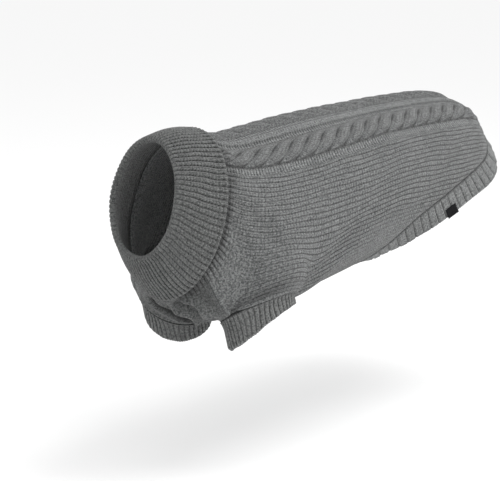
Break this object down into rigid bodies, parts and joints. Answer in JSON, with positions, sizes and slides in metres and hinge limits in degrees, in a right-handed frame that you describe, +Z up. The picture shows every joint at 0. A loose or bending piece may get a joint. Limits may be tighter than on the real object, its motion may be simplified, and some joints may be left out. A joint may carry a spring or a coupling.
{
  "type": "dog sweater",
  "caption": "Knitted sweater for a small dog: folded ribbed collar, cabled back, ribbed flanks and hem band, plain chest, short ribbed leg cuffs, held in its worn shape",
  "frame": {"origin": "on the inner face of the cloth at the spine, in the middle of the back, where the wearer's back holds the sweater up", "axes": "+X towards the tail end, +Y towards the wearer's right side, +Z up"},
  "size_m": [0.5329, 0.1808, 0.2186],
  "materials": {
    "back_knit": "matt melange knit, mid grey",
    "belly_knit": "matt melange knit, mid grey",
    "collar_rib": "matt melange rib knit, mid grey",
    "band_rib": "matt melange rib knit, mid grey",
    "cuff_rib": "matt melange rib knit, mid grey",
    "label_tape": "black woven tape, slight sheen"
  },
  "bodies": {
    "root": {"back_panel": "back_knit", "belly_panel": "belly_knit", "collar": "collar_rib", "hem_band": "band_rib", "cuff_left": "cuff_rib", "cuff_right": "cuff_rib", "label": "label_tape"}
  },
  "joints": []
}
